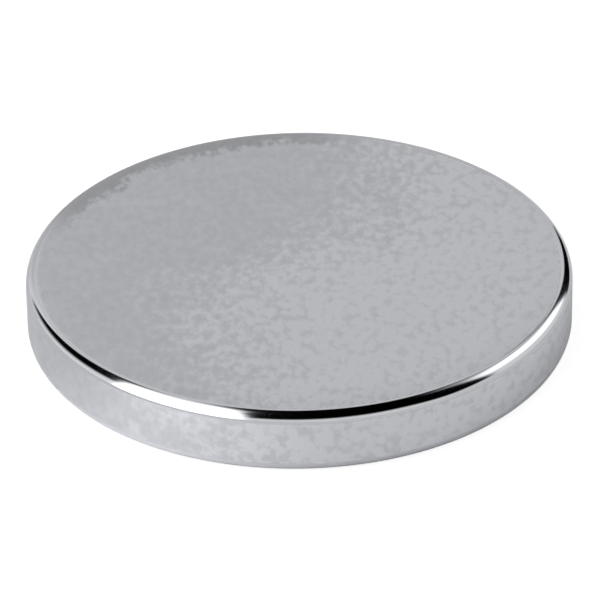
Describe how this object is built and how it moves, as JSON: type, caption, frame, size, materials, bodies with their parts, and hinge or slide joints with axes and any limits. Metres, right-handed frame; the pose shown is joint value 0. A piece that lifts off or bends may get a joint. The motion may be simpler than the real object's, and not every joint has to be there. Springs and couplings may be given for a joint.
{
  "type": "disc magnet",
  "caption": "Flat round magnet with a satin nickel finish and rounded edges, for holding, latching and sensing.",
  "frame": {"origin": "middle of the lower pole face", "axes": "+Z along the disc's axis, up from the lower pole face to the upper one; X and Y lie across the face"},
  "size_m": [0.0254, 0.0254, 0.0032],
  "materials": {
    "nickel_plate": "satin nickel plating with a fine pebbled grain, brighter on the rounded edges"
  },
  "bodies": {
    "root": {"magnet_disc": "nickel_plate"}
  },
  "joints": []
}
